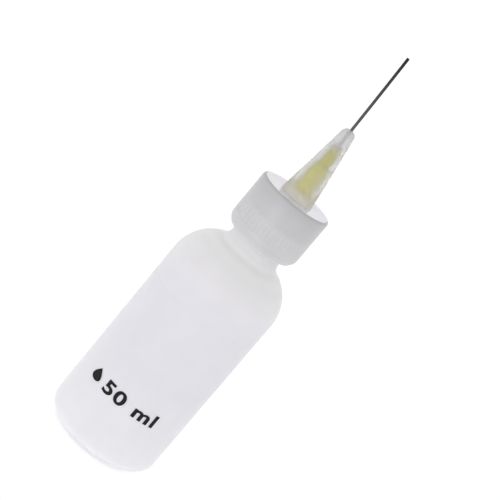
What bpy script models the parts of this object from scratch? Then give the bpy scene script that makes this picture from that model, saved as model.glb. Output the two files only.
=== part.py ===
"""Squeeze bottle with a screw cap and a needle nozzle, for drops of thin cement.

Metres, +Z up.  The origin is the centre of the resting ring under the base, and every piece is
turned about the Z axis.  The screw cap holds the nozzle by its flange and turns freely around
it, so unscrewing the cap lifts the cap and the nozzle together.
"""
import math

import bmesh
import bpy
from mathutils import Matrix

MM = 0.001
COLLECTION = "glue_applicator_bottle"

# Gaps between pieces that touch on the real object.
GAP = 0.3 * MM
NEEDLE_GAP = 0.1 * MM

# Blown bottle.
BODY_R = 18.0 * MM
WALL = 1.0 * MM
CORNER_R = 8.35 * MM
CORNER_H = 4.5 * MM
REST_RING_W = 1.6 * MM
PUSH_UP = 1.4 * MM
SHOULDER_R = 12.2 * MM
SHOULDER_H = 12.85 * MM
SHOULDER_FOOT_Z = 60.4 * MM
NECK_R = 8.3 * MM
NECK_BORE_R = 6.8 * MM
NECK_FILLET = 0.9 * MM

# Screw cap.
CAP_R = 11.67 * MM
CAP_TOP_Z = 94.05 * MM
CAP_BOTTOM_Z = 77.3 * MM
CAP_TOP_WALL = 1.5 * MM
CAP_BORE_R = 9.95 * MM
CAP_EDGE = 0.9 * MM
CAP_SKIRT_Z = 79.6 * MM
CAP_LIP_R = 10.65 * MM
CAP_HOLE_R = 4.85 * MM
GRIP_TOP_Z = 85.7 * MM
GRIP_BOTTOM_Z = 80.9 * MM
GRIP_GROOVES = 48
GRIP_DEPTH = 0.32 * MM

# Screw thread, right-handed, about that of a 20 mm neck with one and a half turns.
PITCH = 3.175 * MM
THREAD_ROOT_W = 1.5 * MM
THREAD_CREST_W = 0.7 * MM
THREAD_SINK = 0.35 * MM
NECK_THREAD_R = 9.45 * MM
NECK_THREAD_TOP_Z = 87.6 * MM
NECK_THREAD_TURNS = 1.5
CAP_THREAD_R = 8.8 * MM
CAP_THREAD_TURNS = 1.25
FLANK_GAP = 0.35 * MM
THREAD_POINTS_PER_TURN = 32
THREAD_END_SIZE = 0.35

# Nozzle, from the cap's underside down, then the cone above the cap.
FLANGE_T = 1.0 * MM
FLANGE_R = 8.6 * MM
WASHER_T = 1.0 * MM
WASHER_R = 8.5 * MM
PLUG_R = 6.4 * MM
PLUG_WALL = 1.1 * MM
PLUG_LENGTH = 5.6 * MM
CONE_FOOT_R = 5.2 * MM
CONE_TIP_R = 2.18 * MM
CONE_TOP_Z = 118.3 * MM
CONE_DOME_H = 1.9 * MM

# Needle hub with a tapered socket, and the steel tube bonded in its nose.
HUB_BOTTOM_Z = 95.2 * MM
HUB_TOP_Z = 112.3 * MM
HUB_FOOT_R = 3.15 * MM
HUB_SHOULDER_R = 2.5 * MM
HUB_SHOULDER_Z = 105.7 * MM
HUB_STEM_R = 1.3 * MM
HUB_FIN_R = 1.92 * MM
HUB_FIN_T = 0.55 * MM
HUB_FIN_TOP_Z = 110.3 * MM
SOCKET_MOUTH_R = 2.15 * MM
SOCKET_DEPTH = 9.0 * MM
SOCKET_TAPER = 0.03
TUBE_R = 0.45 * MM
TUBE_BORE_R = 0.3 * MM
TUBE_TOP_Z = 143.7 * MM
TUBE_SUNK_Z = 103.0 * MM
BEAD_R = 0.95 * MM
BEAD_DEPTH = 0.9 * MM
BEAD_CROWN = 0.35 * MM

# Facets around each turned piece.
BOTTLE_STEPS = 48
CAP_STEPS = 48
NOZZLE_STEPS = 32
NEEDLE_STEPS = 16

# Heights that follow from the stack under the cap's top wall.
FLANGE_TOP_Z = CAP_TOP_Z - CAP_TOP_WALL - GAP
FLANGE_BOTTOM_Z = FLANGE_TOP_Z - FLANGE_T
WASHER_TOP_Z = FLANGE_BOTTOM_Z - GAP
WASHER_BOTTOM_Z = WASHER_TOP_Z - WASHER_T
RIM_Z = WASHER_BOTTOM_Z - GAP
PLUG_BOTTOM_Z = FLANGE_BOTTOM_Z - PLUG_LENGTH

# Colour, roughness and metallic value of each material.
FINISHES = {
    "natural_polythene": ((0.76, 0.76, 0.79), 0.38, 0.0),
    "white_polypropylene": ((0.66, 0.65, 0.68), 0.3, 0.0),
    "frosted_polythene": ((0.72, 0.71, 0.7), 0.42, 0.0),
    "yellow_hub_plastic": ((0.72, 0.62, 0.08), 0.35, 0.0),
    "needle_steel": ((0.34, 0.34, 0.36), 0.3, 1.0),
    "cured_epoxy": ((0.75, 0.6, 0.3), 0.25, 0.0),
    "washer_foam": ((0.85, 0.85, 0.84), 0.7, 0.0),
}


def clear_scene():
    for thing in list(bpy.data.objects):
        bpy.data.objects.remove(thing, do_unlink=True)


def make_collection(name):
    group = bpy.data.collections.new(name)
    bpy.context.scene.collection.children.link(group)
    return group


def make_material(name):
    colour, roughness, metallic = FINISHES[name]
    material = bpy.data.materials.new(name)
    material.use_nodes = True
    shader = material.node_tree.nodes["Principled BSDF"]
    shader.inputs["Base Color"].default_value = (*colour, 1.0)
    shader.inputs["Roughness"].default_value = roughness
    shader.inputs["Metallic"].default_value = metallic
    material.diffuse_color = (*colour, 1.0)
    return material


def arc(centre_r, centre_z, across, up, start, end, steps):
    """Points (radius, height) along part of an ellipse, from one angle to another in degrees."""
    points = []
    for i in range(steps + 1):
        angle = math.radians(start + (end - start) * i / steps)
        points.append((centre_r + across * math.cos(angle), centre_z + up * math.sin(angle)))
    return points


def turned(name, outline, steps, group, material=None):
    """A piece turned about Z.  The outline runs up its inner side and down its outer side."""
    mesh = bpy.data.meshes.new(name)
    corners = [(radius, 0.0, height) for radius, height in outline]
    closed = outline[0][0] > 0.0
    edges = [(i, i + 1) for i in range(len(corners) - 1)]
    if closed:
        edges.append((len(corners) - 1, 0))
    mesh.from_pydata(corners, edges, [])
    piece = bpy.data.objects.new(name, mesh)
    group.objects.link(piece)
    screw = piece.modifiers.new("Turn", "SCREW")
    screw.axis = "Z"
    screw.angle = 2.0 * math.pi
    screw.steps = steps
    screw.render_steps = steps
    screw.use_merge_vertices = True
    screw.merge_threshold = 0.00001
    screw.use_smooth_shade = True
    if material:
        mesh.materials.append(material)
    return piece


def combine(piece, tool, operation):
    step = piece.modifiers.new(operation.title() + " " + tool.name, "BOOLEAN")
    step.operation = operation
    step.object = tool
    step.solver = "EXACT"


def hide_tool(tool):
    tool.hide_render = True
    tool.display_type = "WIRE"


def helix(radius, bottom_z, turns):
    """Points of a right-handed helix, each with a size that fades the thread out at both ends."""
    count = int(turns * THREAD_POINTS_PER_TURN)
    fade = THREAD_POINTS_PER_TURN // 8
    points = []
    for i in range(count + 1):
        angle = 2.0 * math.pi * turns * i / count
        height = bottom_z + PITCH * turns * i / count
        size = min(1.0, THREAD_END_SIZE + (1.0 - THREAD_END_SIZE) * min(i, count - i) / fade)
        points.append((radius * math.cos(angle), radius * math.sin(angle), height, size))
    return points


def poly_curve(name, points, dimensions, group):
    """A curve of straight runs through points (x, y, z, size)."""
    curve = bpy.data.curves.new(name, "CURVE")
    curve.dimensions = dimensions
    spline = curve.splines.new("POLY")
    spline.points.add(len(points) - 1)
    for point, (x, y, z, size) in zip(spline.points, points):
        point.co = (x, y, z, 1.0)
        point.radius = size
    holder = bpy.data.objects.new(name, curve)
    group.objects.link(holder)
    return holder


def thread_ridge(name, base_r, crest_r, bottom_z, turns, group):
    """One helical ridge with sloping flanks, whose root is sunk into the wall that carries it."""
    side = 1.0 if crest_r > base_r else -1.0
    half_root = 0.5 * THREAD_ROOT_W
    half_crest = 0.5 * THREAD_CREST_W
    reach = side * (abs(crest_r - base_r) + THREAD_SINK)
    corners = [(0.0, -half_root), (reach, -half_crest), (reach, half_crest), (0.0, half_root)]
    section = poly_curve(name + "_section", [(x, y, 0.0, 1.0) for x, y in corners], "2D", group)
    section.data.splines[0].use_cyclic_u = True
    path = poly_curve(name + "_path", helix(base_r - side * THREAD_SINK, bottom_z, turns), "3D", group)
    path.data.twist_mode = "Z_UP"
    path.data.bevel_mode = "OBJECT"
    path.data.bevel_object = section
    path.data.use_fill_caps = True
    evaluated = path.evaluated_get(bpy.context.evaluated_depsgraph_get())
    mesh = bpy.data.meshes.new_from_object(evaluated)
    shape = bmesh.new()
    shape.from_mesh(mesh)
    bmesh.ops.remove_doubles(shape, verts=shape.verts, dist=0.00001)
    bmesh.ops.recalc_face_normals(shape, faces=shape.faces)
    shape.to_mesh(mesh)
    shape.free()
    ridge = bpy.data.objects.new(name, mesh)
    ridge.matrix_world = path.matrix_world
    group.objects.link(ridge)
    hide_tool(ridge)
    bpy.data.objects.remove(path, do_unlink=True)
    bpy.data.objects.remove(section, do_unlink=True)
    return ridge


def neck_thread_bottom():
    return NECK_THREAD_TOP_Z - PITCH * NECK_THREAD_TURNS


def cap_thread_bottom():
    """The cap's thread lies under the neck's, FLANK_GAP from the flank that it pulls against."""
    mean_width = 0.5 * (THREAD_ROOT_W + THREAD_CREST_W)
    return neck_thread_bottom() - mean_width - FLANK_GAP


def make_bottle(parts, tools):
    centre_r = BODY_R - SHOULDER_R
    neck_meets = math.degrees(math.acos((NECK_R + NECK_FILLET - centre_r) / SHOULDER_R))
    fillet_z = SHOULDER_FOOT_Z + SHOULDER_H * math.sin(math.radians(neck_meets))
    rest_r = BODY_R - CORNER_R
    inner_r = BODY_R - WALL
    inner_shoulder = SHOULDER_R - WALL
    bore_meets = math.degrees(math.acos((NECK_BORE_R - centre_r) / inner_shoulder))
    outline = [(0.0, PUSH_UP + WALL)]
    outline += [(rest_r - REST_RING_W, 0.3 * PUSH_UP + WALL), (rest_r, WALL)]
    outline += arc(rest_r, CORNER_H, CORNER_R - WALL, CORNER_H - WALL, -75, 0, 5)
    outline += arc(centre_r, SHOULDER_FOOT_Z, inner_shoulder, SHOULDER_H - WALL, 0, bore_meets, 8)
    outline += [(NECK_BORE_R, RIM_Z - GAP), (NECK_BORE_R + GAP, RIM_Z)]
    outline += [(NECK_R - GAP, RIM_Z), (NECK_R, RIM_Z - GAP)]
    outline += [(NECK_R, fillet_z + NECK_FILLET), (NECK_R + 0.3 * NECK_FILLET, fillet_z + 0.3 * NECK_FILLET)]
    outline += arc(centre_r, SHOULDER_FOOT_Z, SHOULDER_R, SHOULDER_H, neck_meets, 0, 9)
    outline += arc(rest_r, CORNER_H, CORNER_R, CORNER_H, 0, -90, 7)
    outline += [(rest_r - REST_RING_W, 0.0), (0.55 * rest_r, 0.75 * PUSH_UP), (0.0, PUSH_UP)]
    bottle = turned("bottle", outline, BOTTLE_STEPS, parts, make_material("natural_polythene"))
    ridge = thread_ridge("neck_thread", NECK_R, NECK_THREAD_R, neck_thread_bottom(),
                         NECK_THREAD_TURNS, tools)
    combine(bottle, ridge, "UNION")
    return bottle


def make_cap(parts, tools):
    under_top_z = CAP_TOP_Z - CAP_TOP_WALL
    outline = [(CAP_BORE_R, CAP_BOTTOM_Z), (CAP_BORE_R, under_top_z), (CAP_HOLE_R, under_top_z)]
    outline += [(CAP_HOLE_R, CAP_TOP_Z)]
    outline += arc(CAP_R - CAP_EDGE, CAP_TOP_Z - CAP_EDGE, CAP_EDGE, CAP_EDGE, 90, 0, 3)
    outline += [(CAP_R, CAP_SKIRT_Z), (CAP_LIP_R, CAP_BOTTOM_Z + GAP), (CAP_LIP_R - GAP, CAP_BOTTOM_Z)]
    cap = turned("screw_cap", outline, CAP_STEPS, parts, make_material("white_polypropylene"))
    ridge = thread_ridge("cap_thread", CAP_BORE_R, CAP_THREAD_R, cap_thread_bottom(),
                         CAP_THREAD_TURNS, tools)
    combine(cap, ridge, "UNION")
    combine(cap, make_grip_cutter(tools), "DIFFERENCE")
    return cap


def make_grip_cutter(tools):
    """Upright three-sided prisms in a ring, one in the middle of each facet of the cap."""
    size = 0.55 * MM
    height = GRIP_TOP_Z - GRIP_BOTTOM_Z
    shape = bmesh.new()
    for i in range(GRIP_GROOVES):
        made = bmesh.ops.create_cone(shape, cap_ends=True, segments=3, radius1=size, radius2=size,
                                     depth=height)
        angle = 2.0 * math.pi * (i + 0.5) / GRIP_GROOVES
        facet_r = CAP_R * math.cos(math.pi / CAP_STEPS)
        place = Matrix.Rotation(angle, 4, "Z")
        place @= Matrix.Translation((facet_r + size - GRIP_DEPTH, 0.0, GRIP_BOTTOM_Z + 0.5 * height))
        place @= Matrix.Rotation(0.5 * math.pi, 4, "Z")
        bmesh.ops.transform(shape, matrix=place, verts=made["verts"])
    mesh = bpy.data.meshes.new("grip_grooves")
    shape.to_mesh(mesh)
    shape.free()
    cutter = bpy.data.objects.new("grip_grooves", mesh)
    tools.objects.link(cutter)
    hide_tool(cutter)
    return cutter


def make_washer(parts):
    bore_r = PLUG_R + GAP
    outline = [(bore_r, WASHER_BOTTOM_Z), (bore_r, WASHER_TOP_Z)]
    outline += [(WASHER_R, WASHER_TOP_Z), (WASHER_R, WASHER_BOTTOM_Z)]
    return turned("sealing_washer", outline, BOTTLE_STEPS, parts, make_material("washer_foam"))


def make_nozzle(parts):
    foot_z = CAP_TOP_Z + GAP
    dome_z = CONE_TOP_Z - CONE_DOME_H
    socket_r = HUB_FOOT_R + GAP
    shoulder_z = HUB_SHOULDER_Z + GAP
    nose_z = HUB_TOP_Z + BEAD_CROWN + GAP
    tip_bore_r = TUBE_R + NEEDLE_GAP
    neck_r = CAP_HOLE_R - GAP
    outline = [(PLUG_R - PLUG_WALL, PLUG_BOTTOM_Z), (PLUG_R - PLUG_WALL, FLANGE_BOTTOM_Z)]
    outline += [(socket_r, FLANGE_TOP_Z), (socket_r, HUB_BOTTOM_Z + MM)]
    outline += [(HUB_SHOULDER_R + GAP, shoulder_z), (HUB_FIN_R + GAP, shoulder_z + GAP)]
    outline += [(HUB_FIN_R + 0.5 * GAP, HUB_FIN_TOP_Z + GAP), (HUB_STEM_R + GAP, nose_z - GAP)]
    outline += [(tip_bore_r, nose_z + GAP), (tip_bore_r, CONE_TOP_Z)]
    outline += arc(CONE_TIP_R - CONE_DOME_H + GAP, dome_z, CONE_DOME_H - GAP, CONE_DOME_H, 75, 0, 5)
    outline += [(CONE_FOOT_R, foot_z), (neck_r, foot_z), (neck_r, FLANGE_TOP_Z)]
    outline += [(FLANGE_R, FLANGE_TOP_Z), (FLANGE_R, FLANGE_BOTTOM_Z), (PLUG_R, FLANGE_BOTTOM_Z)]
    outline += [(PLUG_R, PLUG_BOTTOM_Z + GAP), (PLUG_R - GAP, PLUG_BOTTOM_Z)]
    return turned("nozzle_cone", outline, NOZZLE_STEPS, parts, make_material("frosted_polythene"))


def make_hub(parts, tools):
    """The solid outside first, then two crossed plates as fins, then the bore cut through."""
    outline = [(0.0, HUB_TOP_Z), (HUB_STEM_R - GAP, HUB_TOP_Z)]
    outline += [(HUB_STEM_R, HUB_TOP_Z - GAP), (HUB_STEM_R, HUB_SHOULDER_Z)]
    outline += [(HUB_SHOULDER_R - GAP, HUB_SHOULDER_Z), (HUB_SHOULDER_R, HUB_SHOULDER_Z - GAP)]
    outline += [(HUB_FOOT_R - GAP, HUB_BOTTOM_Z + 1.2 * MM), (HUB_FOOT_R, HUB_BOTTOM_Z + MM)]
    outline += [(HUB_FOOT_R, HUB_BOTTOM_Z), (0.0, HUB_BOTTOM_Z)]
    hub = turned("needle_hub", outline, NEEDLE_STEPS, parts, make_material("yellow_hub_plastic"))
    for i in range(2):
        combine(hub, make_fin(i, tools), "UNION")
    combine(hub, make_hub_bore(tools), "DIFFERENCE")
    return hub


def make_fin(index, tools):
    """One upright plate through the stem; each half that stands out is a fin."""
    bottom_z = HUB_SHOULDER_Z - GAP
    height = HUB_FIN_TOP_Z - bottom_z
    shape = bmesh.new()
    bmesh.ops.create_cube(shape, size=1.0)
    bmesh.ops.scale(shape, vec=(2.0 * HUB_FIN_R, HUB_FIN_T, height), verts=shape.verts)
    turn = Matrix.Rotation(math.pi * (0.25 + 0.5 * index), 4, "Z")
    bmesh.ops.transform(shape, matrix=turn, verts=shape.verts)
    bmesh.ops.translate(shape, vec=(0.0, 0.0, bottom_z + 0.5 * height), verts=shape.verts)
    name = "hub_fin_%d" % (index + 1)
    mesh = bpy.data.meshes.new(name)
    shape.to_mesh(mesh)
    shape.free()
    plate = bpy.data.objects.new(name, mesh)
    tools.objects.link(plate)
    hide_tool(plate)
    return plate


def make_hub_bore(tools):
    """Tapered socket, the bore for the tube, and the cup for the glue round it."""
    floor_z = HUB_BOTTOM_Z + SOCKET_DEPTH
    floor_r = SOCKET_MOUTH_R - SOCKET_TAPER * SOCKET_DEPTH
    bore_r = TUBE_R + NEEDLE_GAP
    cup_z = HUB_TOP_Z - BEAD_DEPTH
    outline = [(0.0, HUB_TOP_Z + MM), (BEAD_R, HUB_TOP_Z + MM), (BEAD_R, cup_z), (bore_r, cup_z)]
    outline += [(bore_r, floor_z), (floor_r, floor_z), (SOCKET_MOUTH_R, HUB_BOTTOM_Z - MM)]
    outline += [(0.0, HUB_BOTTOM_Z - MM)]
    bore = turned("hub_bore", outline, NEEDLE_STEPS, tools)
    hide_tool(bore)
    return bore


def make_tube(parts):
    outline = [(TUBE_BORE_R, TUBE_SUNK_Z), (TUBE_BORE_R, TUBE_TOP_Z)]
    outline += [(TUBE_R, TUBE_TOP_Z), (TUBE_R, TUBE_SUNK_Z)]
    return turned("needle_tube", outline, NEEDLE_STEPS, parts, make_material("needle_steel"))


def make_bead(parts):
    """Ring of cured glue that fills the cup in the hub's nose and crowns a little above it."""
    inner_r = TUBE_R + NEEDLE_GAP
    outer_r = BEAD_R - NEEDLE_GAP
    bottom_z = HUB_TOP_Z - BEAD_DEPTH + NEEDLE_GAP
    outline = [(inner_r, bottom_z), (inner_r, HUB_TOP_Z + BEAD_CROWN)]
    outline += [(0.5 * (inner_r + outer_r), HUB_TOP_Z + 0.7 * BEAD_CROWN)]
    outline += [(outer_r, HUB_TOP_Z), (outer_r, bottom_z)]
    return turned("epoxy_bead", outline, NEEDLE_STEPS, parts, make_material("cured_epoxy"))


def seat_on_joint(pieces, name, height, group):
    """Parent pieces to an empty on the joint's axis, so that the empty can turn or lift them."""
    pivot = bpy.data.objects.new(name, None)
    pivot.empty_display_size = 5.0 * MM
    pivot.location = (0.0, 0.0, height)
    group.objects.link(pivot)
    for piece in pieces:
        piece.parent = pivot
        piece.matrix_parent_inverse = Matrix.Translation((0.0, 0.0, -height))
    return pivot


def main():
    clear_scene()
    parts = make_collection(COLLECTION)
    tools = make_collection("cutters")
    make_bottle(parts, tools)
    nozzle_group = [make_washer(parts), make_nozzle(parts), make_hub(parts, tools)]
    nozzle_group += [make_tube(parts), make_bead(parts)]
    cap = make_cap(parts, tools)
    lift = seat_on_joint(nozzle_group, "closure_lift_axis", RIM_Z, parts)
    turn = seat_on_joint([cap], "cap_turn_axis", RIM_Z, parts)
    turn.parent = lift
    turn.matrix_parent_inverse = Matrix.Translation((0.0, 0.0, -RIM_Z))


main()
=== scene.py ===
"""Looks of the glue applicator bottle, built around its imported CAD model.

Every turned piece is drawn as a fine outline in millimetres and spun about Z.  Where a surface
isn't round (threads, grip grooves, parting line, fins) a relief function moves its radius.
"""
import math

import bmesh
import bpy
from mathutils import Matrix, Vector


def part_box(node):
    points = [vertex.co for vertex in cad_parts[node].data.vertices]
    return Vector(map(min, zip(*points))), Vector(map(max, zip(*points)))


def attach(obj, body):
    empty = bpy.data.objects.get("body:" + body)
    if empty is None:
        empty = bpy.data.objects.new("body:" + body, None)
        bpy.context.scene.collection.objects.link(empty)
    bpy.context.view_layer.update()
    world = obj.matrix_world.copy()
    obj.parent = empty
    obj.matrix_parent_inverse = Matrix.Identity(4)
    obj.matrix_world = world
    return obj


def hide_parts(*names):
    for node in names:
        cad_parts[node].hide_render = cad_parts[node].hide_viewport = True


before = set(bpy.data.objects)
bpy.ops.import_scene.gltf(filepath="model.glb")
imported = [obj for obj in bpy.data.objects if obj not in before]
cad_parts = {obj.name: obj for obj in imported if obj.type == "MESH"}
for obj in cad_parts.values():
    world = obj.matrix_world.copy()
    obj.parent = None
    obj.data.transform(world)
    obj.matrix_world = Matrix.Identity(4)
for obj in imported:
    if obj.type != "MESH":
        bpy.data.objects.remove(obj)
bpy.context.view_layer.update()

MM = 0.001
TURN = 2.0 * math.pi


def millimetres(node):
    """Lowest and highest corner of a CAD node, in millimetres."""
    low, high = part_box(node)
    return low / MM, high / MM


# Driving sizes, in millimetres, read from the boxes of the CAD nodes.
BOTTLE_HIGH = millimetres("bottle")[1]
CAP_LOW, CAP_HIGH = millimetres("screw_cap")
NOZZLE_LOW, NOZZLE_HIGH = millimetres("nozzle_cone")
WASHER_LOW, WASHER_HIGH = millimetres("sealing_washer")
HUB_LOW, HUB_HIGH = millimetres("needle_hub")
TUBE_LOW, TUBE_HIGH = millimetres("needle_tube")
BODY_R, RIM_Z = BOTTLE_HIGH.x, BOTTLE_HIGH.z
CAP_R, CAP_BOTTOM_Z, CAP_TOP_Z = CAP_HIGH.x, CAP_LOW.z, CAP_HIGH.z
FLANGE_R, PLUG_BOTTOM_Z, CONE_TOP_Z = NOZZLE_HIGH.x, NOZZLE_LOW.z, NOZZLE_HIGH.z
WASHER_R, WASHER_LOW_Z, WASHER_TOP_Z = WASHER_HIGH.x, WASHER_LOW.z, WASHER_HIGH.z
HUB_FOOT_R, HUB_BOTTOM_Z, HUB_TOP_Z = HUB_HIGH.x, HUB_LOW.z, HUB_HIGH.z
TUBE_R, TUBE_LOW_Z, TUBE_TOP_Z = TUBE_HIGH.x, TUBE_LOW.z, TUBE_HIGH.z

# Facets round each piece, and the angle between two faces past which their edge looks sharp.
BOTTLE_STEPS = 240
CAP_STEPS = 384
WASHER_STEPS = 128
NOZZLE_STEPS = 256
HUB_STEPS = 192
NEEDLE_STEPS = 48
SHARP_ANGLE = math.radians(40.0)

# What counts as on the axis, and as at the same radius or height.
ON_AXIS = 1e-6
NEAR = 0.01

# The rest of the bottle's shape.
WALL = 1.0
CORNER_R = 8.35
CORNER_H = 4.5
REST_RING_W = 1.6
PUSH_UP = 1.4
PUSH_UP_POWER = 0.8
PUSH_UP_POINTS = 12
SHOULDER_R = 12.2
SHOULDER_H = 12.85
SHOULDER_FOOT_Z = 60.4
NECK_R = 8.3
NECK_BORE_R = 6.8
NECK_FILLET = 2.2
NECK_FLARE_H = 2.6
RIM_ROUND = 0.35
RIM_LAND = 3.0
BODY_ROWS = 10
BODY_RING_Z = 53.0
BODY_RING_DEPTH = 0.05
BODY_RING_HALF_W = 0.45
BODY_RING_REACH = 1.0
BODY_RING_ROW = 0.1
PARTING_H = 0.045
PARTING_HALF_W = 0.35
PARTING_FOOT_Z = 1.0

# The cap's.
CAP_TOP_WALL = 1.5
CAP_BORE_R = 9.95
CAP_EDGE = 0.9
CAP_LIP_R = 10.65
CAP_LIP_W = 0.3
CAP_HOLE_R = 4.85
CAP_HOLE_ROUND = 0.15
SKIRT_Z = 79.3
SKIRT_GROOVE = 0.22
SKIRT_GROOVE_FROM = 0.1
SKIRT_GROOVE_TO = 0.25
SKIRT_TAPER_IN = 0.16
SKIRT_TAPER_FROM = 0.42
GRIP_LOW_Z = 80.9
GRIP_TOP_Z = 85.7
GRIP_GROOVES = 48
GRIP_DEPTH = 0.16
GRIP_HALF_W = 0.6
GRIP_FADE_H = 0.35
GRIP_ROW = 0.2
GRIP_ROWS_TOP_Z = GRIP_TOP_Z + 0.6
GRIP_ROWS_LOW_Z = SKIRT_Z + 0.4
CAP_BAND_Z = GRIP_TOP_Z + 3.0

# The thread's.
PITCH = 3.175
THREAD_ROOT_W = 1.5
THREAD_CREST_W = 0.7
NECK_THREAD_R = 9.45
NECK_THREAD_TOP_Z = 87.6
NECK_THREAD_TURNS = 1.5
NECK_THREAD_LOW_Z = NECK_THREAD_TOP_Z - PITCH * NECK_THREAD_TURNS
NECK_THREAD_FOOT_Z = NECK_THREAD_LOW_Z - 2.0
NECK_THREAD_ROW = 0.13
CAP_THREAD_R = 8.8
CAP_THREAD_TURNS = 1.25
FLANK_GAP = 0.35
CAP_THREAD_LOW_Z = NECK_THREAD_LOW_Z - 0.5 * (THREAD_ROOT_W + THREAD_CREST_W) - FLANK_GAP
CAP_THREAD_HEAD_Z = CAP_BOTTOM_Z + 9.0
CAP_THREAD_ROW = 0.22
THREAD_END_SIZE = 0.2
THREAD_FADE_TURNS = 0.14

# The washer's and the nozzle's.
WASHER_GAP = 0.1
WASHER_ROUND = 0.12
FLANGE_T = 1.0
FLANGE_GAP = 0.3
FLANGE_TOP_Z = CAP_TOP_Z - CAP_TOP_WALL - FLANGE_GAP
FLANGE_ROUND = 0.2
PLUG_R = 6.4
PLUG_WALL = 1.1
PLUG_ROUND = 0.3
CONE_FOOT_R = 5.2
CONE_TIP_R = 2.18
CONE_DOME_R = 1.6
CONE_DOME_H = 1.9
CONE_ROWS = 16
CAP_HOLE_GAP = 0.1
SEAT_GAP = 0.005
SEAT_ROUND = 0.015
SEAT_MILKY_H = 0.03
HUB_SEAT_MILKY_H = 0.2
HUB_ROOM = 0.12
HUB_SEAT_RIM_H = 1.1
FIN_ROOM = 0.15
FIN_TIP_ROOM = 0.1
FIN_TOP_ROOM = 0.2
NOSE_ROOM = 0.2

# The hub's, the bead's and the tube's.
HUB_SHOULDER_R = 2.5
HUB_SHOULDER_Z = 105.7
HUB_FOOT_RIM_H = 1.0
HUB_FOOT_RIM_W = 0.35
HUB_STEM_R = 1.3
HUB_ROW = 0.25
FIN_R = 1.92
FIN_T = 0.55
FIN_FLANK_W = 0.12
FIN_FLANK_OUT = 0.08
FIN_LOW_Z = HUB_SHOULDER_Z + 0.05
FIN_TOP_Z = 110.3
FIN_FADE_H = 0.3
SOCKET_MOUTH_R = 2.15
SOCKET_DEPTH = 9.0
SOCKET_TAPER = 0.03
BEAD_R = 0.95
BEAD_DEPTH = 0.9
BEAD_CROWN = 0.35
BEAD_GAP = 0.02
TUBE_BORE_R = 0.3
TUBE_ROW = 1.5
HAIR_GAP = 0.05
TIP_LEAN = 0.95
TIP_LEAN_FROM_Z = 95.3
TIP_LEAN_POWER = 1.5

# The printed mark's: a drop and a volume, on the front, wrapped round the body.
MARK_WORDS = "50 ml"
MARK_LOW_Z = 18.7
MARK_HEIGHT = 4.2
MARK_LEFT = math.radians(-44.0)
MARK_RIGHT = math.radians(35.0)
MARK_LIFT = 0.02
MARK_THICK = 0.05
MARK_SPACE = 0.5 * MARK_HEIGHT
MARK_SLICE_W = 0.5
MARK_WELD = 0.0005
DIGIT_SHARE = 0.73
LETTER_BOLDER = 0.04
LETTER_SPACING = 1.12
DROP_SPREAD = 0.62
DROP_POINT_POWER = 1.3
DROP_POINTS = 48


# ---------------------------------------------------------------- outlines and turned pieces

def arc(centre_r, centre_z, across, up, start, end, steps):
    """Points (radius, height) along part of an ellipse, from one angle to another in degrees."""
    points = []
    for i in range(steps + 1):
        angle = math.radians(start + (end - start) * i / steps)
        points.append((centre_r + across * math.cos(angle), centre_z + up * math.sin(angle)))
    return points


def line(start, end, steps):
    """Points (radius, height) along a straight line, with both its ends."""
    points = []
    for i in range(steps + 1):
        t = i / steps
        points.append((start[0] + (end[0] - start[0]) * t, start[1] + (end[1] - start[1]) * t))
    return points


def bend(start, corner, end, steps):
    """Points (radius, height) of a smooth bend that sets off and arrives along a corner's sides."""
    points = []
    for i in range(steps + 1):
        t = i / steps
        place = start * (1 - t) ** 2 + corner * (2 * t * (1 - t)) + end * t ** 2
        points.append((place.x, place.y))
    return points


def eased(corners, steps=4):
    """Points along corners (radius, height, rounding), each corner eased by a small bend."""
    points = []
    for i, (r, z, rounding) in enumerate(corners):
        if rounding <= 0.0:
            points.append((r, z))
            continue
        here = Vector((r, z))
        before = Vector(corners[i - 1][:2]) - here
        after = Vector(corners[(i + 1) % len(corners)][:2]) - here
        start = here + before.normalized() * min(rounding, 0.5 * before.length)
        end = here + after.normalized() * min(rounding, 0.5 * after.length)
        points += bend(start, here, end, steps)
    return points


def with_rows(points, spacing, low_z, high_z):
    """The same outline, with extra points so that no row between two heights is too tall."""
    fine = []
    for here, after in zip(points, points[1:]):
        rows = 1
        if low_z - spacing <= min(here[1], after[1]) and max(here[1], after[1]) <= high_z + spacing:
            rows = max(1, int(abs(after[1] - here[1]) / spacing))
        fine += line(here, after, rows)[:-1]
    return fine + points[-1:]


def turned(name, outline, steps, relief=None):
    """A closed mesh spun about Z.  The outline runs up its inner side and down its outer side."""
    shape = bmesh.new()
    rings = []
    for i, (radius, height) in enumerate(outline):
        if radius < ON_AXIS:
            rings.append([shape.verts.new((0.0, 0.0, height * MM))])
            continue
        ring = []
        for k in range(steps):
            angle = TURN * k / steps
            r = radius + (relief(angle, radius, height, i) if relief else 0.0)
            place = (r * math.cos(angle) * MM, r * math.sin(angle) * MM, height * MM)
            ring.append(shape.verts.new(place))
        rings.append(ring)
    pairs = list(zip(rings, rings[1:]))
    if outline[0][0] > ON_AXIS:
        pairs.append((rings[-1], rings[0]))
    for upper, lower in pairs:
        for k in range(steps):
            corners = [upper[k % len(upper)], lower[k % len(lower)],
                       lower[(k + 1) % len(lower)], upper[(k + 1) % len(upper)]]
            shape.faces.new(list(dict.fromkeys(corners)))
    bmesh.ops.recalc_face_normals(shape, faces=shape.faces)
    piece = new_piece(name, shape)
    piece.data.shade_smooth()
    piece.data.set_sharp_from_angle(angle=SHARP_ANGLE)
    return piece


def new_piece(name, shape):
    """An object in the scene that takes over a bmesh."""
    mesh = bpy.data.meshes.new(name)
    shape.to_mesh(mesh)
    shape.free()
    piece = bpy.data.objects.new(name, mesh)
    bpy.context.scene.collection.objects.link(piece)
    return piece


def smooth(x):
    """An S-shaped rise from 0 to 1 as x goes from 0 to 1."""
    x = min(1.0, max(0.0, x))
    return x * x * (3.0 - 2.0 * x)


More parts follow.
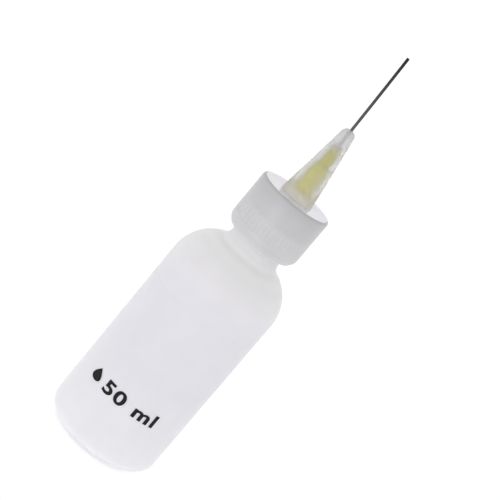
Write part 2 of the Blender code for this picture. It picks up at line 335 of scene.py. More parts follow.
def thread_height(angle, height, low_z, turns):
    """How far up its flank the thread stands at a place on the wall, from 0 to 1."""
    best = 0.0
    for turn in range(int(turns) + 2):
        along = angle / TURN + turn
        if along > turns:
            continue
        fade = smooth(min(along, turns - along) / THREAD_FADE_TURNS)
        size = THREAD_END_SIZE + (1.0 - THREAD_END_SIZE) * fade
        off = abs(height - (low_z + PITCH * along))
        half_root = 0.5 * THREAD_ROOT_W * size
        half_crest = 0.5 * THREAD_CREST_W * size
        best = max(best, size * smooth((half_root - off) / (half_root - half_crest)))
    return best


def lean(piece):
    """Bends a piece of the dispensing tip a little to one side, more towards the needle's end."""
    for vertex in piece.data.vertices:
        share = max(0.0, vertex.co.z / MM - TIP_LEAN_FROM_Z) / (TUBE_TOP_Z - TIP_LEAN_FROM_Z)
        vertex.co.x -= TIP_LEAN * MM * share ** TIP_LEAN_POWER


def finish_piece(piece, node, body, material):
    """Puts a piece in its CAD node's place, with its finish and the body that it moves with."""
    if body == "nozzle":
        lean(piece)
    piece.data.materials.append(material)
    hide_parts(node)
    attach(piece, body)


# ---------------------------------------------------------------- the pieces

def bottle_outline():
    """Up the inside to the rim, then down the outside and back to the middle of the base."""
    centre_r = BODY_R - SHOULDER_R
    rest_r = BODY_R - CORNER_R
    inner_shoulder = SHOULDER_R - WALL
    neck_meets = math.degrees(math.acos((NECK_R + NECK_FILLET - centre_r) / SHOULDER_R))
    bore_meets = math.degrees(math.acos((NECK_BORE_R - centre_r) / inner_shoulder))

    base = []
    for i in range(PUSH_UP_POINTS + 1):
        out = i / PUSH_UP_POINTS
        base.append(((rest_r - REST_RING_W) * out, PUSH_UP * (1 - out ** 2) ** PUSH_UP_POWER))
    outline = [(r, z + WALL) for r, z in base] + [(rest_r, WALL)]
    outline += arc(rest_r, CORNER_H, CORNER_R - WALL, CORNER_H - WALL, -80, 0, 12)
    outline += arc(centre_r, SHOULDER_FOOT_Z, inner_shoulder, SHOULDER_H - WALL, 0, bore_meets, 20)

    neck = [(NECK_BORE_R, RIM_Z - RIM_LAND, 0.0), (NECK_BORE_R, RIM_Z, RIM_ROUND),
            (NECK_R, RIM_Z, RIM_ROUND), (NECK_R, NECK_THREAD_FOOT_Z, 0.0)]
    outline += with_rows(eased(neck), NECK_THREAD_ROW, NECK_THREAD_FOOT_Z, RIM_Z)

    # The neck flares into the shoulder along the two slopes that meet at flare_corner.
    fillet_z = SHOULDER_FOOT_Z + SHOULDER_H * math.sin(math.radians(neck_meets))
    rise = NECK_FILLET * SHOULDER_H / (SHOULDER_R * math.tan(math.radians(neck_meets)))
    flare_corner = Vector((NECK_R, fillet_z + rise))
    flare_top = flare_corner + Vector((0.0, NECK_FLARE_H))
    outline += bend(flare_top, flare_corner, Vector((NECK_R + NECK_FILLET, fillet_z)), 14)[:-1]
    outline += arc(centre_r, SHOULDER_FOOT_Z, SHOULDER_R, SHOULDER_H, neck_meets, 0, 26)

    # Fine rows over the faint ring, and coarse ones above and below it.
    ring = [(BODY_R, BODY_RING_Z + BODY_RING_REACH), (BODY_R, BODY_RING_Z - BODY_RING_REACH)]
    outline += [(BODY_R, BODY_RING_Z + 2.0 * BODY_RING_REACH)]
    outline += with_rows(ring, BODY_RING_ROW, 0.0, RIM_Z)
    outline += [(BODY_R, BODY_RING_Z - 2.0 * BODY_RING_REACH)]
    below_ring = (BODY_R, BODY_RING_Z - 4.0 * BODY_RING_REACH)
    outline += line(below_ring, (BODY_R, CORNER_H), BODY_ROWS)[:-1]
    outline += arc(rest_r, CORNER_H, CORNER_R, CORNER_H, 0, -90, 18)
    return outline + base[::-1]


def bottle_relief(outline):
    """Neck thread, the mould's parting line up both sides, and a faint ring round the body."""
    outer_from = max(range(len(outline)), key=lambda i: outline[i][1])

    def relief(angle, radius, height, index):
        if index < outer_from:
            return 0.0
        moved = -BODY_RING_DEPTH * smooth(1.0 - abs(height - BODY_RING_Z) / BODY_RING_HALF_W)
        if height > NECK_THREAD_FOOT_Z:
            moved += (NECK_THREAD_R - NECK_R) * thread_height(
                angle, height, NECK_THREAD_LOW_Z, NECK_THREAD_TURNS)
        elif height > PARTING_FOOT_Z:
            off = abs(math.sin(angle)) * radius
            moved += PARTING_H * smooth(1.0 - off / PARTING_HALF_W)
        return moved

    return relief


def make_bottle():
    outline = bottle_outline()
    piece = turned("bottle_shell", outline, BOTTLE_STEPS, bottle_relief(outline))
    finish_piece(piece, "bottle", "bottle", polythene())


def make_cap():
    under_z = CAP_TOP_Z - CAP_TOP_WALL
    edge_r = CAP_R - CAP_EDGE
    inner = [(CAP_LIP_R - CAP_LIP_W, CAP_BOTTOM_Z, 0.0), (CAP_BORE_R, CAP_BOTTOM_Z, 0.2),
             (CAP_BORE_R, under_z, 0.4), (CAP_HOLE_R, under_z, CAP_HOLE_ROUND),
             (CAP_HOLE_R, CAP_TOP_Z, CAP_HOLE_ROUND), (edge_r, CAP_TOP_Z, 0.0)]
    outline = with_rows(eased(inner)[1:], CAP_THREAD_ROW, CAP_BOTTOM_Z, CAP_THREAD_HEAD_Z)
    inside = len(outline)
    outline += arc(edge_r, CAP_TOP_Z - CAP_EDGE, CAP_EDGE, CAP_EDGE, 90, 0, 12)
    grip = [(CAP_R, GRIP_ROWS_TOP_Z), (CAP_R, GRIP_ROWS_LOW_Z)]
    outline += [(CAP_R, CAP_BAND_Z)]
    outline += with_rows(grip, GRIP_ROW, 0.0, CAP_TOP_Z)
    skirt = [(CAP_R, SKIRT_Z + 0.3, 0.0), (CAP_R, SKIRT_Z, 0.1),
             (CAP_R - SKIRT_GROOVE, SKIRT_Z - SKIRT_GROOVE_FROM, 0.06),
             (CAP_R - SKIRT_GROOVE, SKIRT_Z - SKIRT_GROOVE_TO, 0.06),
             (CAP_R - SKIRT_TAPER_IN, SKIRT_Z - SKIRT_TAPER_FROM, 0.15),
             (CAP_LIP_R, CAP_BOTTOM_Z + CAP_LIP_W, 0.5), (CAP_LIP_R - CAP_LIP_W, CAP_BOTTOM_Z, 0.0)]
    outline += eased(skirt)

    def relief(angle, radius, height, index):
        """The thread inside, and the grip grooves outside."""
        if index < inside:
            if abs(radius - CAP_BORE_R) > NEAR:
                return 0.0
            return (CAP_THREAD_R - CAP_BORE_R) * thread_height(
                angle, height, CAP_THREAD_LOW_Z, CAP_THREAD_TURNS)
        pitch = TURN / GRIP_GROOVES
        off = abs((angle % pitch) - 0.5 * pitch) * CAP_R
        ends = smooth((height - GRIP_LOW_Z) / GRIP_FADE_H) * smooth((GRIP_TOP_Z - height) / GRIP_FADE_H)
        return -GRIP_DEPTH * smooth(1.0 - off / GRIP_HALF_W) * ends

    piece = turned("cap_shell", outline, CAP_STEPS, relief)
    finish_piece(piece, "screw_cap", "cap", polypropylene())
    piece.data.materials.append(polished_top())
    for face in piece.data.polygons:
        if face.normal.z > 0.99 and face.center.z > (CAP_TOP_Z - NEAR) * MM:
            face.material_index = 1


def make_washer():
    bore_r = PLUG_R + WASHER_GAP
    corners = [(bore_r, WASHER_LOW_Z, WASHER_ROUND), (bore_r, WASHER_TOP_Z, WASHER_ROUND),
               (WASHER_R, WASHER_TOP_Z, WASHER_ROUND), (WASHER_R, WASHER_LOW_Z, WASHER_ROUND)]
    piece = turned("washer_ring", eased(corners), WASHER_STEPS)
    finish_piece(piece, "sealing_washer", "nozzle", foam())


def make_nozzle():
    """Plug, flange and see-through cone.  All below the cone, and the seat in its foot, is milky."""
    foot_z = CAP_TOP_Z + SEAT_GAP
    flange_low_z = FLANGE_TOP_Z - FLANGE_T
    dome_z = CONE_TOP_Z - CONE_DOME_H
    dome_centre_r = CONE_TIP_R - CONE_DOME_R
    nose_z = HUB_TOP_Z + BEAD_CROWN + NOSE_ROOM
    tip_bore_r = TUBE_R + HAIR_GAP
    neck_r = CAP_HOLE_R - CAP_HOLE_GAP
    plug_bore_r = PLUG_R - PLUG_WALL
    # The inside clears the hub, its fins and its nose; its two end corners only steer the easing.
    inside = [(PLUG_R - PLUG_ROUND, PLUG_BOTTOM_Z, 0.0), (plug_bore_r, PLUG_BOTTOM_Z, PLUG_ROUND),
              (plug_bore_r, flange_low_z, 0.6), (HUB_FOOT_R + HUB_ROOM, FLANGE_TOP_Z, 0.8),
              (HUB_FOOT_R + HUB_ROOM, HUB_BOTTOM_Z + HUB_SEAT_RIM_H, 0.4),
              (HUB_SHOULDER_R + HUB_ROOM, HUB_SHOULDER_Z + HUB_ROOM, 0.2),
              (FIN_R + FIN_ROOM, HUB_SHOULDER_Z + 0.4, 0.2),
              (FIN_R + FIN_TIP_ROOM, FIN_TOP_Z + FIN_TOP_ROOM, 0.3),
              (HUB_STEM_R + FIN_ROOM, nose_z - 0.3, 0.3), (tip_bore_r, nose_z + 0.4, 0.1),
              (tip_bore_r, CONE_TOP_Z, 0.08), (dome_centre_r, CONE_TOP_Z, 0.0)]
    outline = eased(inside)[1:-1]
    outline += arc(dome_centre_r, dome_z, CONE_DOME_R, CONE_DOME_H, 88, 0, 14)
    slope = (CONE_FOOT_R - CONE_TIP_R) / (dome_z - foot_z)
    wall_low = (CONE_TIP_R + slope * (dome_z - HUB_BOTTOM_Z), HUB_BOTTOM_Z)
    outline += line((CONE_TIP_R, dome_z), wall_low, CONE_ROWS)[1:]
    below = [(CONE_FOOT_R, foot_z + 0.3, 0.0), (CONE_FOOT_R, foot_z, SEAT_ROUND),
             (neck_r, foot_z, 0.1), (neck_r, FLANGE_TOP_Z, 0.1),
             (FLANGE_R, FLANGE_TOP_Z, FLANGE_ROUND), (FLANGE_R, flange_low_z, FLANGE_ROUND),
             (PLUG_R, flange_low_z, 0.15), (PLUG_R, PLUG_BOTTOM_Z, PLUG_ROUND),
             (PLUG_R - PLUG_ROUND, PLUG_BOTTOM_Z, 0.0)]
    outline += eased(below)[1:]
    piece = turned("nozzle_shell", outline, NOZZLE_STEPS)
    finish_piece(piece, "nozzle_cone", "nozzle", frosted())
    piece.data.materials.append(milky())
    for face in piece.data.polygons:
        z = face.center.z / MM
        inward = face.normal.x * face.center.x + face.normal.y * face.center.y < 0.0
        if z < foot_z + SEAT_MILKY_H or (inward and z < HUB_BOTTOM_Z + HUB_SEAT_MILKY_H):
            face.material_index = 1


def make_hub():
    floor_z = HUB_BOTTOM_Z + SOCKET_DEPTH
    floor_r = SOCKET_MOUTH_R - SOCKET_TAPER * SOCKET_DEPTH
    bore_r = TUBE_R + HAIR_GAP
    cup_z = HUB_TOP_Z - BEAD_DEPTH
    rim_z = HUB_BOTTOM_Z + HUB_FOOT_RIM_H
    under = (SOCKET_MOUTH_R + 0.3, HUB_BOTTOM_Z, 0.0)
    inside = [under, (SOCKET_MOUTH_R, HUB_BOTTOM_Z, 0.15), (floor_r, floor_z, 0.3),
              (bore_r, floor_z, 0.1), (bore_r, cup_z, 0.05), (BEAD_R, cup_z, 0.1),
              (BEAD_R, HUB_TOP_Z, 0.1), (HUB_STEM_R, HUB_TOP_Z, 0.0)]
    outline = eased(inside)[1:-1]
    outer_from = len(outline)
    outside = [(BEAD_R, HUB_TOP_Z, 0.0), (HUB_STEM_R, HUB_TOP_Z, 0.25),
               (HUB_STEM_R, HUB_SHOULDER_Z, 0.2), (HUB_SHOULDER_R, HUB_SHOULDER_Z, 0.3),
               (HUB_FOOT_R - HUB_FOOT_RIM_W, rim_z + 0.3, 0.25), (HUB_FOOT_R, rim_z, 0.12),
               (HUB_FOOT_R, HUB_BOTTOM_Z, 0.15), under]
    outline += with_rows(eased(outside)[1:], HUB_ROW, HUB_SHOULDER_Z, HUB_TOP_Z)

    def relief(angle, radius, height, index):
        """Four fins round the stem."""
        if index < outer_from or height <= FIN_LOW_Z:
            return 0.0
        quarter = TURN / 4
        off = abs((angle % quarter) - 0.5 * quarter) * HUB_STEM_R
        flank = smooth((0.5 * FIN_T + FIN_FLANK_OUT - off) / FIN_FLANK_W)
        return (FIN_R - radius) * flank * smooth((FIN_TOP_Z - height) / FIN_FADE_H + 1.0)

    piece = turned("hub_moulding", outline, HUB_STEPS, relief)
    finish_piece(piece, "needle_hub", "nozzle", hub_plastic())


def make_tube():
    corners = [(TUBE_BORE_R, TUBE_LOW_Z, 0.04), (TUBE_BORE_R, TUBE_TOP_Z, 0.04),
               (TUBE_R, TUBE_TOP_Z, 0.06), (TUBE_R, TUBE_LOW_Z, 0.06)]
    outline = with_rows(eased(corners), TUBE_ROW, 0.0, TUBE_TOP_Z)
    piece = turned("steel_tube", outline, NEEDLE_STEPS)
    finish_piece(piece, "needle_tube", "nozzle", steel())


def make_bead():
    inner_r = TUBE_R + BEAD_GAP
    outer_r = BEAD_R - BEAD_GAP
    bottom_z = HUB_TOP_Z - BEAD_DEPTH + HAIR_GAP
    outline = [(inner_r, bottom_z), (inner_r, HUB_TOP_Z + BEAD_CROWN)]
    outline += arc(inner_r, HUB_TOP_Z, outer_r - inner_r, BEAD_CROWN, 80, 0, 8)
    outline += [(outer_r, bottom_z)]
    piece = turned("glue_bead", outline, NEEDLE_STEPS)
    finish_piece(piece, "epoxy_bead", "nozzle", epoxy())


# ---------------------------------------------------------------- the printed mark

def drop_holder():
    """A filled drop outline, standing on the base line, with its point at the top."""
    outline = bpy.data.curves.new("mark_drop", "CURVE")
    outline.dimensions = "2D"
    outline.fill_mode = "BOTH"
    outline.extrude = 0.5 * MARK_THICK
    spline = outline.splines.new("POLY")
    spline.points.add(DROP_POINTS - 1)
    for i, point in enumerate(spline.points):
        t = TURN * i / DROP_POINTS
        x = DROP_SPREAD * math.sin(t) * math.sin(0.5 * t) ** DROP_POINT_POWER
        y = 0.5 + 0.5 * math.cos(t)
        point.co = (x * MARK_HEIGHT, y * MARK_HEIGHT, 0.0, 1.0)
    spline.use_cyclic_u = True
    return bpy.data.objects.new("mark_drop", outline)


def text_holder():
    """The words of the mark, with digits as tall as the mark."""
    text = bpy.data.curves.new("mark_text", "FONT")
    text.body = MARK_WORDS
    text.size = MARK_HEIGHT / DIGIT_SHARE
    text.offset = LETTER_BOLDER * MARK_HEIGHT
    text.space_character = LETTER_SPACING
    text.extrude = 0.5 * MARK_THICK
    text.resolution_u = 6
    return bpy.data.objects.new("mark_text", text)


def flat_mesh(holder):
    """The evaluated mesh of a text or curve object, which is then removed."""
    bpy.context.scene.collection.objects.link(holder)
    bpy.context.view_layer.update()
    evaluated = holder.evaluated_get(bpy.context.evaluated_depsgraph_get())
    mesh = bpy.data.meshes.new_from_object(evaluated)
    bpy.data.objects.remove(holder, do_unlink=True)
    return mesh


def add_stretched(shape, mesh, left, right):
    """Adds a flat mesh to the mark, moved and stretched so that it runs from left to right."""
    before = set(shape.verts)
    shape.from_mesh(mesh)
    added = [v for v in shape.verts if v not in before]
    low_x = min(v.co.x for v in added)
    high_x = max(v.co.x for v in added)
    for v in added:
        v.co.x = left + (v.co.x - low_x) * (right - left) / (high_x - low_x)


def make_mark():
    """The mark is laid out flat, sliced upright so that it can bend, and wrapped round the body."""
    shape = bmesh.new()
    drop = flat_mesh(drop_holder())
    drop_w = max(v.co.x for v in drop.vertices) - min(v.co.x for v in drop.vertices)
    length = (MARK_RIGHT - MARK_LEFT) * BODY_R
    add_stretched(shape, drop, 0.0, drop_w)
    add_stretched(shape, flat_mesh(text_holder()), drop_w + MARK_SPACE, length)
    bmesh.ops.remove_doubles(shape, verts=shape.verts, dist=MARK_WELD)
    cuts = int(length / MARK_SLICE_W)
    for i in range(1, cuts):
        everything = shape.verts[:] + shape.edges[:] + shape.faces[:]
        bmesh.ops.bisect_plane(shape, geom=everything, dist=1e-5,
                               plane_co=(length * i / cuts, 0.0, 0.0), plane_no=(1.0, 0.0, 0.0))
    for v in shape.verts:
        angle = MARK_LEFT + v.co.x / BODY_R
        radius = BODY_R + MARK_LIFT + v.co.z
        place = Vector((radius * math.sin(angle), -radius * math.cos(angle), MARK_LOW_Z + v.co.y))
        v.co = place * MM
    bmesh.ops.recalc_face_normals(shape, faces=shape.faces)
    piece = new_piece("volume_mark", shape)
    piece.data.materials.append(ink())
    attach(piece, "bottle")


# ---------------------------------------------------------------- materials

# The range of values that most of a noise fills.
NOISE_LOW = 0.3
NOISE_HIGH = 0.7


class Surface:
    """A Principled material with helpers for procedural detail, in millimetres."""

    def __init__(self, name, **plain):
        """Each keyword is a socket's name, with _ for a space, and its value all over."""
        self.material = bpy.data.materials.new(name)
        self.material.use_nodes = True
        self.tree = self.material.node_tree
        self.shader = self.tree.nodes["Principled BSDF"]
        for socket, value in plain.items():
            self.shader.inputs[socket.replace("_", " ")].default_value = value
        where = self.tree.nodes.new("ShaderNodeTexCoord")
        scaled = self.tree.nodes.new("ShaderNodeMapping")
        scaled.inputs["Scale"].default_value = (1.0 / MM, 1.0 / MM, 1.0 / MM)
        self.tree.links.new(where.outputs["Object"], scaled.inputs["Vector"])
        self.place = scaled.outputs["Vector"]

    def noise(self, per_mm, detail=3.0, stretch=None):
        """Grey noise, about so many lumps to a millimetre, or drawn out where stretch is small."""
        source = self.place
        if stretch:
            mapping = self.tree.nodes.new("ShaderNodeMapping")
            mapping.inputs["Scale"].default_value = stretch
            self.tree.links.new(source, mapping.inputs["Vector"])
            source = mapping.outputs["Vector"]
        node = self.tree.nodes.new("ShaderNodeTexNoise")
        node.inputs["Scale"].default_value = per_mm
        node.inputs["Detail"].default_value = detail
        self.tree.links.new(source, node.inputs["Vector"])
        return node.outputs["Fac"]

    def along(self, axis):
        """The place along X, Y or Z."""
        parts = self.tree.nodes.new("ShaderNodeSeparateXYZ")
        self.tree.links.new(self.place, parts.inputs["Vector"])
        return parts.outputs[axis]

    def radius(self):
        """The distance from the Z axis."""
        flat = self.tree.nodes.new("ShaderNodeVectorMath")
        flat.operation = "MULTIPLY"
        flat.inputs[1].default_value = (1.0, 1.0, 0.0)
        length = self.tree.nodes.new("ShaderNodeVectorMath")
        length.operation = "LENGTH"
        self.tree.links.new(self.place, flat.inputs[0])
        self.tree.links.new(flat.outputs["Vector"], length.inputs[0])
        return length.outputs["Value"]

    def ramp(self, source, stops):
        """Colours or grey levels at values of source, which may run over any range."""
        low, high = stops[0][0], stops[-1][0]
        unit = self.tree.nodes.new("ShaderNodeMapRange")
        unit.inputs["From Min"].default_value = low
        unit.inputs["From Max"].default_value = high
        self.tree.links.new(source, unit.inputs["Value"])
        node = self.tree.nodes.new("ShaderNodeValToRGB")
        elements = node.color_ramp.elements
        while len(elements) < len(stops):
            elements.new(0.5)
        for element, (value, colour) in zip(elements, stops):
            element.position = (value - low) / (high - low)
            shade = colour if isinstance(colour, tuple) else (colour, colour, colour)
            element.color = (*shade, 1.0)
        self.tree.links.new(unit.outputs["Result"], node.inputs["Fac"])
        return node.outputs["Color"]

    def vary(self, source, first, second):
        """From one colour or grey level to another, as a noise rises."""
        return self.ramp(source, [(NOISE_LOW, first), (NOISE_HIGH, second)])

    def blend(self, kind, factor, first, second):
        """Two colours mixed; factor, first and second are each an output or a plain value."""
        node = self.tree.nodes.new("ShaderNodeMix")
        node.data_type = "RGBA"
        node.blend_type = kind
        node.clamp_factor = True
        # A Mix node has sockets for each kind of data; these are the ones that a colour uses.
        for index, value in ((0, factor), (6, first), (7, second)):
            if isinstance(value, bpy.types.NodeSocket):
                self.tree.links.new(value, node.inputs[index])
            elif isinstance(value, tuple):
                node.inputs[index].default_value = (*value, 1.0)
            else:
                node.inputs[index].default_value = value
        return node.outputs[2]

    def feed(self, socket, source):
        self.tree.links.new(source, self.shader.inputs[socket])

    def colour(self, tone, mottle):
        """Base colour: a tone, dimmed by a grey mottle."""
        self.feed("Base Color", self.blend("MULTIPLY", 1.0, tone, mottle))

    def bump(self, *layers):
        """Chained bumps, each (height source, depth in millimetres)."""
        normal = None
        for source, depth in layers:
            node = self.tree.nodes.new("ShaderNodeBump")
            node.inputs["Strength"].default_value = 1.0
            node.inputs["Distance"].default_value = depth * MM
            self.tree.links.new(source, node.inputs["Height"])
            if normal is not None:
                self.tree.links.new(normal, node.inputs["Normal"])
            normal = node.outputs["Normal"]
        self.feed("Normal", normal)


def polythene():
    """Milky blown polythene, waxy and a little lavender. Its colour holds painted light: palest at the
    base, and a bright band round the neck's foot that paints out the shade under the cap.
    """
    s = Surface("natural_polythene_mat", IOR=1.43, Subsurface_Weight=0.45,
                Subsurface_Radius=(1.0, 0.97, 0.97), Subsurface_Scale=3.0 * MM)
    # Painted light: the tone is lighter towards the base, and brightest in a band at the neck's foot,
    # where the cap's overhang shades it.
    tone = s.ramp(s.along("Z"), [
        (0.0, (0.875, 0.87, 0.91)),
        (12.0, (0.825, 0.82, 0.86)),
        (30.0, (0.77, 0.76, 0.815)),
        (58.0, (0.77, 0.757, 0.81)),
        (65.0, (0.805, 0.785, 0.81)),
        (69.5, (0.835, 0.825, 0.84)),
        (71.4, (0.92, 0.91, 0.915)),
        (72.4, (0.965, 0.96, 0.965)),
        (73.4, (0.91, 0.905, 0.91)),
        (74.4, (0.80, 0.795, 0.81)),
        (75.8, (0.785, 0.78, 0.795)),
        (77.2, (0.82, 0.815, 0.83)),
        (80.0, (0.77, 0.765, 0.78))])
    s.colour(tone, s.vary(s.noise(0.09, 2.0), 0.965, 1.0))
    s.feed("Roughness", s.vary(s.noise(0.5, 4.0), 0.34, 0.46))
    s.bump((s.noise(0.16, 2.0), 0.12), (s.noise(2.2, 4.0), 0.012))
    return s.material


def polypropylene():
    """White moulded cap with a fine satin grain. Its colour holds painted shade, greyer towards the
    top, and painted light on its bottom edge.
    """
    s = Surface("white_polypropylene_mat", IOR=1.56, Subsurface_Weight=0.1,
                Subsurface_Radius=(1.0, 1.0, 1.0), Subsurface_Scale=1.0 * MM)
    # Painted shade: the tone darkens towards the top of the cap. The first stop paints light onto the
    # lip's bottom edge.
    tone = s.ramp(s.along("Z"), [
        (77.3, (0.82, 0.81, 0.83)),
        (77.6, (0.61, 0.603, 0.62)),
        (79.7, (0.578, 0.57, 0.59)),
        (85.2, (0.568, 0.56, 0.58)),
        (86.4, (0.53, 0.52, 0.542)),
        (90.0, (0.51, 0.502, 0.52)),
        (94.1, (0.46, 0.453, 0.465))])
    s.colour(tone, s.vary(s.noise(0.2, 2.0), 0.96, 1.0))
    s.feed("Roughness", s.vary(s.noise(0.8, 4.0), 0.32, 0.44))
    s.bump((s.noise(0.25, 2.0), 0.05), (s.noise(3.0, 4.0), 0.01))
    return s.material


def polished_top():
    """The cap's flat top, moulded against a polished face: it mirrors what stands on it."""
    s = Surface("polished_cap_top_mat", IOR=1.49, Coat_Weight=1.0, Coat_Roughness=0.05)
    s.feed("Base Color", s.vary(s.noise(0.3), (0.60, 0.58, 0.67), (0.64, 0.62, 0.71)))
    s.feed("Roughness", s.vary(s.noise(0.6, 4.0), 0.08, 0.16))
    s.bump((s.noise(0.2, 2.0), 0.01))
    return s.material


def frosted():
    """Frosted natural polythene: light comes through it, blurred, and less so at foot and tip."""
    s = Surface("frosted_polythene_mat", IOR=1.24)
    tone = s.ramp(s.along("Z"), [
        (94.1, (0.885, 0.855, 0.79)),
        (95.3, (0.885, 0.86, 0.76)),
        (96.6, (0.89, 0.87, 0.76)),
        (98.5, (0.86, 0.85, 0.82)),
        (104.0, (0.82, 0.815, 0.80)),
        (111.0, (0.80, 0.80, 0.79)),
        (113.5, (0.75, 0.745, 0.75)),
        (118.0, (0.735, 0.725, 0.73))])
    s.colour(tone, s.vary(s.noise(0.4), 0.95, 1.0))
    s.feed("Transmission Weight", s.ramp(s.along("Z"), [
        (94.15, 0.15), (95.4, 0.45), (97.6, 0.83), (110.0, 0.85), (113.5, 0.62), (118.0, 0.5)]))
    blur = s.ramp(s.along("Z"), [(95.3, 0.5), (97.5, 0.48), (109.0, 0.42), (113.0, 0.5)])
    grain = s.vary(s.noise(0.8), 0.85, 1.0)
    s.feed("Roughness", s.blend("MULTIPLY", 1.0, grain, blur))
    s.bump((s.noise(0.3, 0.0), 0.02))
    return s.material


def milky():
    """The nozzle's seat, where the same polythene is too thick to see through."""
    s = Surface("milky_polythene_mat", IOR=1.45)
    tone = s.ramp(s.along("Z"), [
        (85.0, (0.86, 0.85, 0.84)),
        (90.0, (0.90, 0.89, 0.87)),
        (95.3, (0.93, 0.91, 0.86))])
    s.colour(tone, s.vary(s.noise(0.4), 0.95, 1.0))
    s.feed("Roughness", s.vary(s.noise(0.8), 0.4, 0.52))
    s.bump((s.noise(0.5, 2.0), 0.03))
    return s.material


def hub_plastic():
    """Bright yellow polypropylene. It is warmest on the stem and paler out on the fins, which is
    painted shade between the fins. It is paler towards +X, which is painted light.
    """
    s = Surface("yellow_hub_mat", IOR=1.4)
    tone = s.ramp(s.along("Z"), [
        (95.0, (1.0, 0.94, 0.15)),
        (104.0, (1.0, 0.96, 0.13)),
        (106.5, (1.0, 0.98, 0.12)),
        (113.0, (1.0, 0.98, 0.2))])
    # Painted shade: deeper orange near the stem, between the fins.
    out = s.ramp(s.radius(), [
        (1.3, (0.98, 0.87, 0.10)),
        (1.5, (0.99, 0.94, 0.12)),
        (1.75, (1.0, 1.0, 0.34)),
        (2.2, (1.0, 1.0, 1.0))])
    # Painted light: paler towards +X.
    painted_light_to_x = s.ramp(s.along("X"), [(0.4, 0.0), (1.5, 1.0)])
    yellow = s.blend("MIX", painted_light_to_x, s.blend("DARKEN", 1.0, tone, out), (1.0, 1.0, 0.42))
    s.colour(yellow, s.vary(s.noise(0.8), 0.92, 1.0))
    s.feed("Roughness", s.vary(s.noise(1.5), 0.28, 0.4))
    s.bump((s.noise(3.0), 0.01))
    return s.material


def steel():
    """Drawn needle tube: fine lines run along it. Its free length is painted near black, a painted dark
    reflection, darkest at the end.
    """
    s = Surface("needle_steel_mat", Metallic=1.0)
    lines = s.noise(9.0, 4.0, stretch=(1.0, 1.0, 0.04))
    # Painted reflection: the steel is pale inside the cone and painted near black along its free
    # length.
    tone = s.ramp(s.along("Z"), [
        (110.0, (0.85, 0.85, 0.83)),
        (117.0, (0.7, 0.7, 0.7)),
        (118.6, (0.1, 0.1, 0.105)),
        (130.0, (0.07, 0.07, 0.075)),
        (143.7, (0.03, 0.03, 0.035))])
    s.colour(tone, s.vary(lines, 0.85, 1.0))
    s.feed("Roughness", s.vary(lines, 0.22, 0.36))
    s.bump((lines, 0.004))
    return s.material


def epoxy():
    """Cured glue: amber, glossy and a little see-through."""
    s = Surface("cured_epoxy_mat", IOR=1.55, Transmission_Weight=0.35)
    s.feed("Base Color", s.vary(s.noise(1.2, 2.0), (0.72, 0.58, 0.28), (0.8, 0.68, 0.4)))
    s.feed("Roughness", s.vary(s.noise(2.0, 2.0), 0.12, 0.22))
    s.bump((s.noise(1.5, 2.0), 0.02))
    return s.material


def foam():
    """Matt white foam, with its cells as a fine bump."""
    s = Surface("washer_foam_mat")
    s.feed("Base Color", s.vary(s.noise(3.0), 0.8, 0.88))
    s.feed("Roughness", s.vary(s.noise(4.0, 2.0), 0.65, 0.85))
    s.bump((s.noise(5.0), 0.05))
    return s.material


def ink():
    """Screen-printed black, slightly uneven."""
    s = Surface("printing_ink_mat", IOR=1.3)
    s.feed("Base Color", s.ramp(s.noise(1.6, 4.0), [(NOISE_LOW, 0.004), (0.75, 0.012)]))
    s.feed("Roughness", s.vary(s.noise(2.5), 0.5, 0.66))
    s.bump((s.noise(6.0), 0.008))
    return s.material


# ---------------------------------------------------------------- stage, lights, camera

# In metres, and in millimetres for the lens and its sensor.
FLOOR_HALF = 60.0
LIGHT_PLACE = (-0.1, -0.33, 0.02)
LIGHT_AIM = (0.0, 0.0, 0.03)
LIGHT_WIDTH = 0.16
LIGHT_WATTS = 0.12
SKY_DIMS_FROM = 0.2
SKY_OVERHEAD = 0.75
CAMERA_PLACE = (0.0, -0.4363, 0.1827)
CAMERA_LENS = 113.74
SENSOR_WIDTH = 36.0
LOOK_DOWN = math.radians(14.05)
LOOK_ASIDE = math.radians(-0.08)
ROLL = math.radians(39.92)
WHITE = (1.0, 1.0, 1.0, 1.0)


def make_stage():
    shape = bmesh.new()
    bmesh.ops.create_grid(shape, x_segments=8, y_segments=8, size=FLOOR_HALF)
    floor = new_piece("floor", shape)
    s = Surface("floor_mat", Roughness=0.9, Specular_IOR_Level=0.0,
                Emission_Color=WHITE, Emission_Strength=0.25)
    s.feed("Base Color", s.vary(s.noise(0.02, 2.0), 0.93, 0.95))
    floor.data.materials.append(s.material)


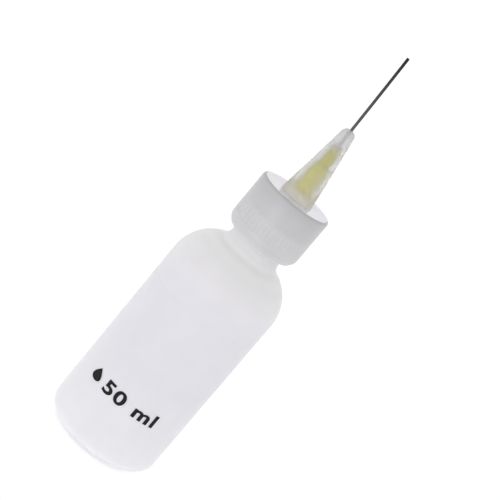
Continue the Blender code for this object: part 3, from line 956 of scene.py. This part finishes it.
def make_sky():
    """A white surround, a little dimmer overhead."""
    world = bpy.data.worlds.new("studio")
    bpy.context.scene.world = world
    world.use_nodes = True
    tree = world.node_tree
    where = tree.nodes.new("ShaderNodeTexCoord")
    parts = tree.nodes.new("ShaderNodeSeparateXYZ")
    shade = tree.nodes.new("ShaderNodeMapRange")
    shade.inputs["From Min"].default_value = SKY_DIMS_FROM
    shade.inputs["From Max"].default_value = 1.0
    shade.inputs["To Min"].default_value = 1.0
    shade.inputs["To Max"].default_value = SKY_OVERHEAD
    sky = tree.nodes["Background"]
    sky.inputs["Color"].default_value = WHITE
    tree.links.new(where.outputs["Generated"], parts.inputs["Vector"])
    tree.links.new(parts.outputs["Z"], shade.inputs["Value"])
    tree.links.new(shade.outputs["Result"], sky.inputs["Strength"])


def make_light():
    """One low soft light in front, which the camera doesn't see."""
    light = bpy.data.lights.new("low_front", "AREA")
    light.shape = "DISK"
    light.size = LIGHT_WIDTH
    light.energy = LIGHT_WATTS
    holder = bpy.data.objects.new("low_front", light)
    holder.location = LIGHT_PLACE
    aim = Vector(LIGHT_AIM) - Vector(LIGHT_PLACE)
    holder.rotation_euler = aim.to_track_quat("-Z", "Y").to_euler()
    holder.visible_camera = False
    bpy.context.scene.collection.objects.link(holder)


def make_camera():
    """In front, looking a little down, and rolled so that the bottle slants across the picture."""
    forward = Vector((math.sin(LOOK_ASIDE) * math.cos(LOOK_DOWN),
                      math.cos(LOOK_ASIDE) * math.cos(LOOK_DOWN), -math.sin(LOOK_DOWN)))
    right = forward.cross(Vector((0.0, 0.0, 1.0))).normalized()
    up = right.cross(forward)
    image_x = right * math.cos(ROLL) + up * math.sin(ROLL)
    image_y = up * math.cos(ROLL) - right * math.sin(ROLL)
    data = bpy.data.cameras.new("camera")
    data.lens = CAMERA_LENS
    data.sensor_width = SENSOR_WIDTH
    data.clip_start = 0.01
    data.clip_end = 50.0
    camera = bpy.data.objects.new("camera", data)
    turn = Matrix((image_x, image_y, -forward)).transposed()
    camera.matrix_world = Matrix.Translation(CAMERA_PLACE) @ turn.to_4x4()
    bpy.context.scene.collection.objects.link(camera)
    bpy.context.scene.camera = camera


def main():
    bpy.context.scene.view_settings.view_transform = "Standard"
    make_camera()
    make_stage()
    make_sky()
    make_light()
    make_bottle()
    make_cap()
    make_washer()
    make_nozzle()
    make_hub()
    make_tube()
    make_bead()
    make_mark()
    bpy.context.view_layer.update()


main()
